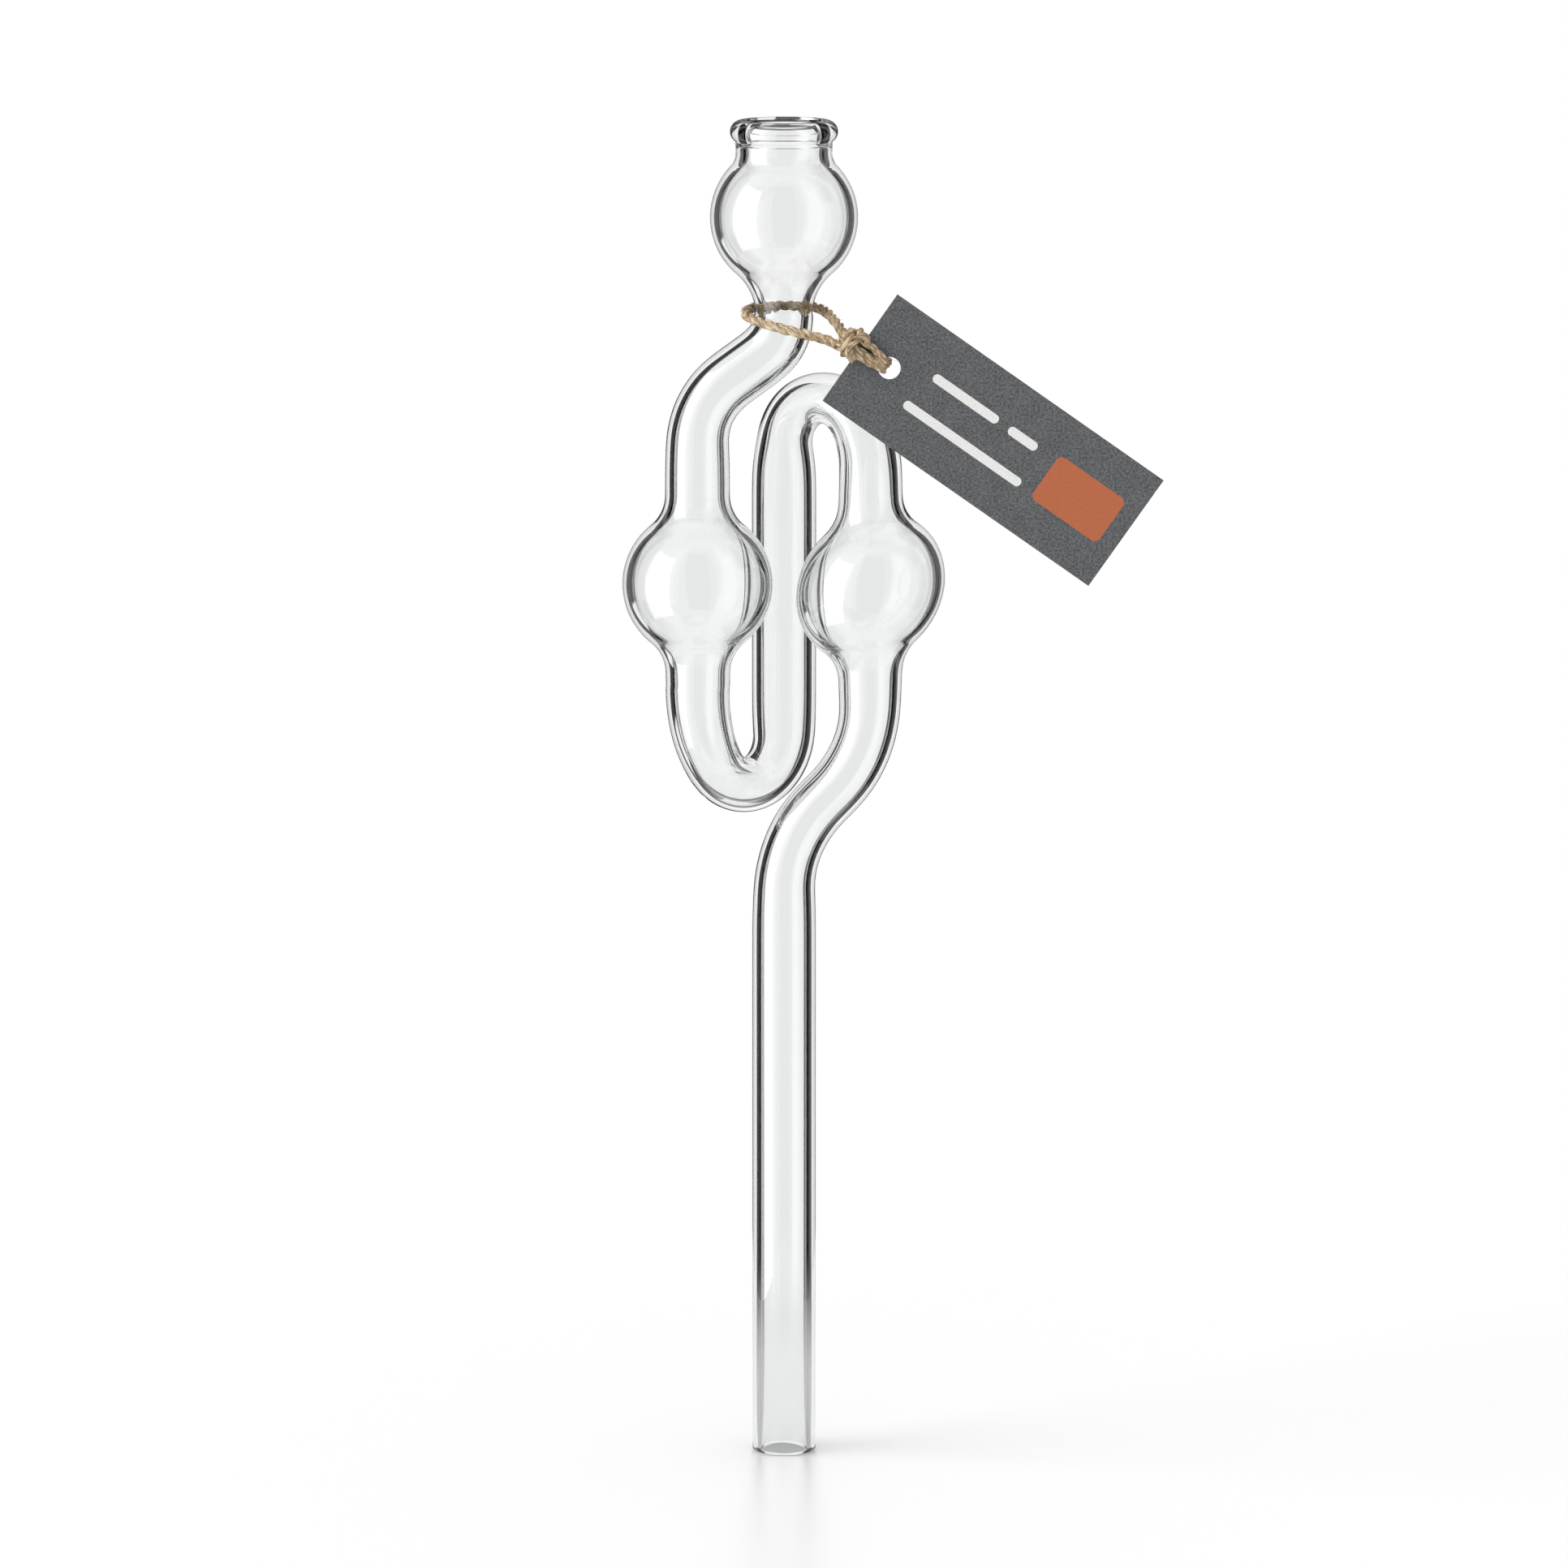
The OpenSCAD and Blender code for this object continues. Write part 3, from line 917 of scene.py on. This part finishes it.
def add_floor():
    """A plain pale floor; through the glass it carries painted shade, a darker oval and wedge near the foot
    only.
    """
    white = floor_material("floor", 0.92)
    inner, outer = oval(*FLOOR_NEAR), oval(*FLOOR_FAR)
    near = add_floor_part("floor_near", inner, white)
    near.visible_transmission = False
    far = add_floor_part("floor_far", inner + outer, white, faces=ring_faces(0, len(inner), len(inner)))
    far.visible_transmission = False
    far.visible_glossy = False
    # Painted shade: darker sheets of floor that only the glass sees, fading out away from the foot
    wedge = [Vector(corner) for corner in SHADE_WEDGE]
    pale = faded_shade_material("painted_shade_pale", 0.84, *WEDGE_FADES)
    behind = add_floor_part("painted_shade_behind_glass", wedge, pale, WEDGE_Z)
    dark_shade = faded_shade_material("painted_shade_grey", 0.45, *SHADE_OVAL_FADES)
    beside = add_floor_part("painted_shade_beside_glass", oval(*SHADE_OVAL), dark_shade, SHADE_OVAL_Z)
    for seen in (behind, beside):
        seen.visible_camera = False
        seen.visible_diffuse = False
        seen.visible_glossy = False
        seen.visible_shadow = False


# What the glass sees, as azimuths from +Y towards +X, elevations and brightness: bright fields
# between black flags where it bends light, and a softbox at the left in what it mirrors.
# They fit the view from the front. From many other sides a flag is straight behind the glass, which
# then looks dark, and window_low is a bright patch for the view from 45,25 alone.
THROUGH_BASE = 0.96
THROUGH = [
    ("overhead", -180, 180, 58, 90, 1.0),
    ("camera_left", -180, -139, -90, 58, 0.05),
    ("camera_right", 158, 180, -90, 58, 0.05),
    ("softbox", -133, -99, -40, 42, 1.6),
    ("shade_left", -101, -70, -62, -19, 0.06),
    ("shade_right", 76, 110, -30, 40, 0.08),
    ("flag_low", -24, 23, -66, -28, 0.1),
    ("flag_left", -61, -23, -62, 58, 0.0),
    ("flag_right", 22, 66, -62, 58, 0.0),
    ("window_low", -55, -35, -34, -17, 0.94),
]
MIRRORED_BASE = 0.95
MIRRORED = [
    ("behind", -50, 50, -90, 60, 0.15),
    ("camera_left", -180, -150, -60, 60, 0.3),
    ("camera_right", 150, 180, -60, 60, 0.3),
    ("shade_left", -90, -65, -40, 50, 0.02),
    ("shade_right", 71, 100, -40, 50, 0.08),
    ("softbox", -136, -93, -40, 42, 4.8),
]
SOFT_EDGE = 1.2
WORLD_LIGHT = 0.8


def surroundings(tree, azimuth, elevation, base, patches):
    """Brightness by direction: soft-edged patches, each laid over the ones before it."""
    level = base
    for name, left, right, low, high, brightness in patches:
        inside = None
        for value, start, end, least, most in ((azimuth, left, right, -180, 180),
                                               (elevation, low, high, -90, 90)):
            steps = []
            if start > least:
                steps.append(soft_step(tree, value, start - SOFT_EDGE, start + SOFT_EDGE))
            if end < most:
                steps.append(soft_step(tree, value, end + SOFT_EDGE, end - SOFT_EDGE))
            for step in steps:
                inside = step if inside is None else math_node(tree, "MULTIPLY", inside, step)
        level = blend(tree, inside, level, brightness, name)
    return level


def add_world():
    """A plain white studio for everything but clear glass, which sees the flags and the softbox."""
    world = bpy.data.worlds.new("studio")
    bpy.context.scene.world = world
    world.use_nodes = True
    tree = world.node_tree
    background = tree.nodes["Background"]
    direction = add_node(tree, "ShaderNodeTexCoord").outputs["Generated"]
    split = add_node(tree, "ShaderNodeSeparateXYZ")
    tree.links.new(direction, split.inputs[0])
    turn = math_node(tree, "ARCTAN2", split.outputs["X"], split.outputs["Y"])
    azimuth = math_node(tree, "MULTIPLY", turn, 180 / math.pi)
    rise = math_node(tree, "ARCSINE", split.outputs["Z"])
    elevation = math_node(tree, "MULTIPLY", rise, 180 / math.pi)
    through_glass = surroundings(tree, azimuth, elevation, THROUGH_BASE, THROUGH)
    mirrored = surroundings(tree, azimuth, elevation, MIRRORED_BASE, MIRRORED)
    path = add_node(tree, "ShaderNodeLightPath")
    sharp = blend(tree, path.outputs["Is Singular Ray"], 1.0, mirrored, "sharp mirror")
    level = blend(tree, path.outputs["Is Camera Ray"], WORLD_LIGHT, 1.0, "camera")
    level = blend(tree, path.outputs["Is Glossy Ray"], level, sharp, "mirrored")
    level = blend(tree, path.outputs["Is Transmission Ray"], level, through_glass, "through glass")
    tree.links.new(level, background.inputs["Strength"])
    background.inputs["Color"].default_value = (1, 1, 1, 1)


def add_key():
    """The broad soft light at the left, which throws the shadow to the right."""
    data = bpy.data.lights.new("key", "SUN")
    data.energy = 1.9
    data.angle = math.radians(46)
    key = bpy.data.objects.new("key", data)
    bpy.context.scene.collection.objects.link(key)
    azimuth, elevation = math.radians(190), math.radians(30)
    level = math.cos(elevation)
    source = Vector((math.cos(azimuth) * level, math.sin(azimuth) * level, math.sin(elevation)))
    key.rotation_euler = source.to_track_quat("Z", "Y").to_euler()
    key.visible_glossy = False
    key.visible_transmission = False


# ---------------------------------------------------------------- build

add_camera()
jute = jute_material()
loop, loop_fuzz, loop_line = add_loop(jute)
knot = add_knot(jute)
lashing = add_lashing(jute)
add_glass()
tag = add_tag()
prints = add_prints()
add_floor()
add_world()
add_key()

scene = bpy.context.scene
scene.view_settings.view_transform = "Standard"
scene.cycles.max_bounces = 24
scene.cycles.transmission_bounces = 24
scene.cycles.glossy_bounces = 16
